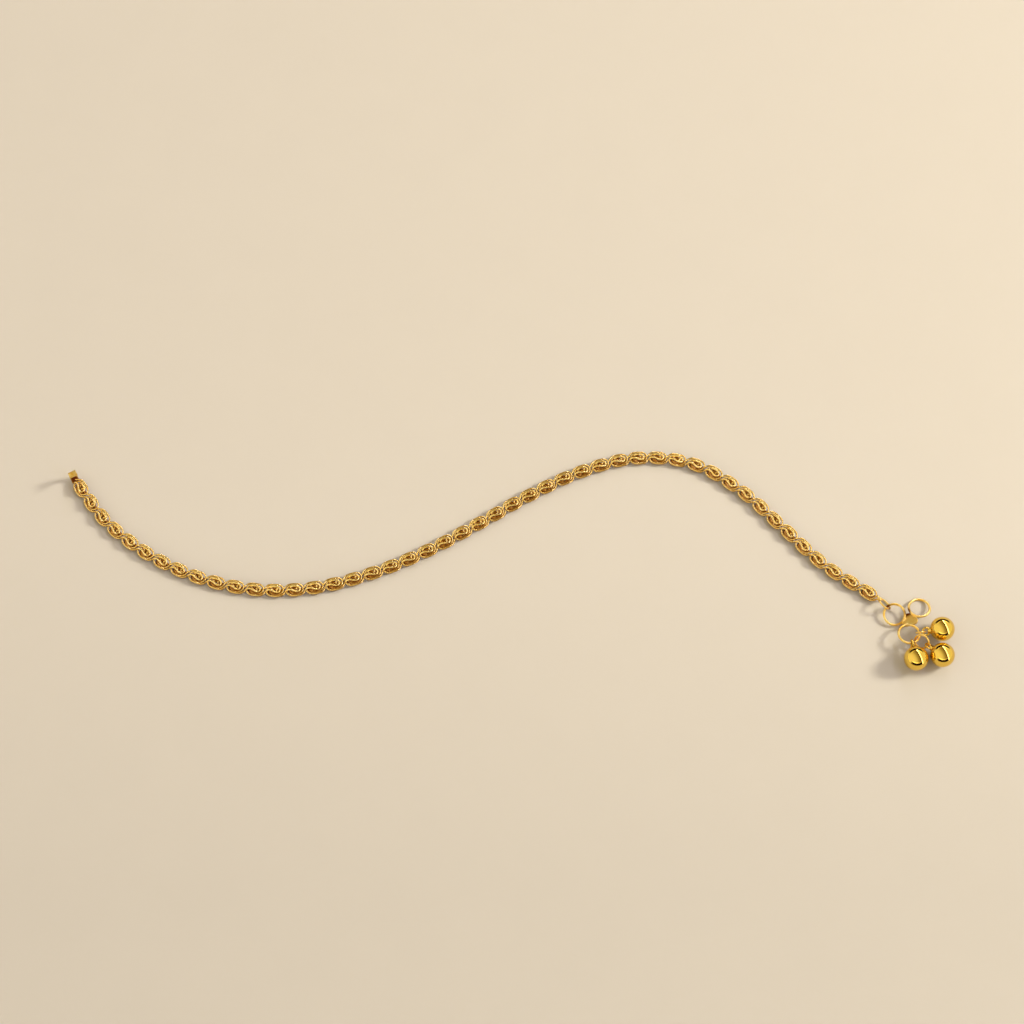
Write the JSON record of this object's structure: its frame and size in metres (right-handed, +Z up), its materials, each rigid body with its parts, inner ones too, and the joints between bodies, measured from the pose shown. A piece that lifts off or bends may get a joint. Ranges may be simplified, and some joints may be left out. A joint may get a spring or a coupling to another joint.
{
  "type": "chain anklet",
  "caption": "Gold-plated anklet of flat snail chain, lying open, with a strip hook at one end and size rings with hollow round bells at the other.",
  "frame": {"origin": "middle of the anklet's outline on the surface it lies on", "axes": "+X runs from the hook end to the bell end, +Z is up from the surface, +Y is to the left of +X"},
  "size_m": [0.2366, 0.0631, 0.0065],
  "materials": {
    "chain_gold": "gold plated wire, polished, darker in the crevices",
    "hook_gold": "gold plated strip, satin",
    "ring_gold": "gold plated wire, polished",
    "bell_gold": "gold plated, mirror polished"
  },
  "bodies": {
    "root": {"chain": "chain_gold", "clasp_hook": "hook_gold", "end_ring": "ring_gold", "size_rings": "ring_gold", "bell_ring_side": "ring_gold", "bell_ring_front": "ring_gold", "bell_front": "bell_gold", "bell_right": "bell_gold", "bell_back": "bell_gold"}
  },
  "joints": []
}
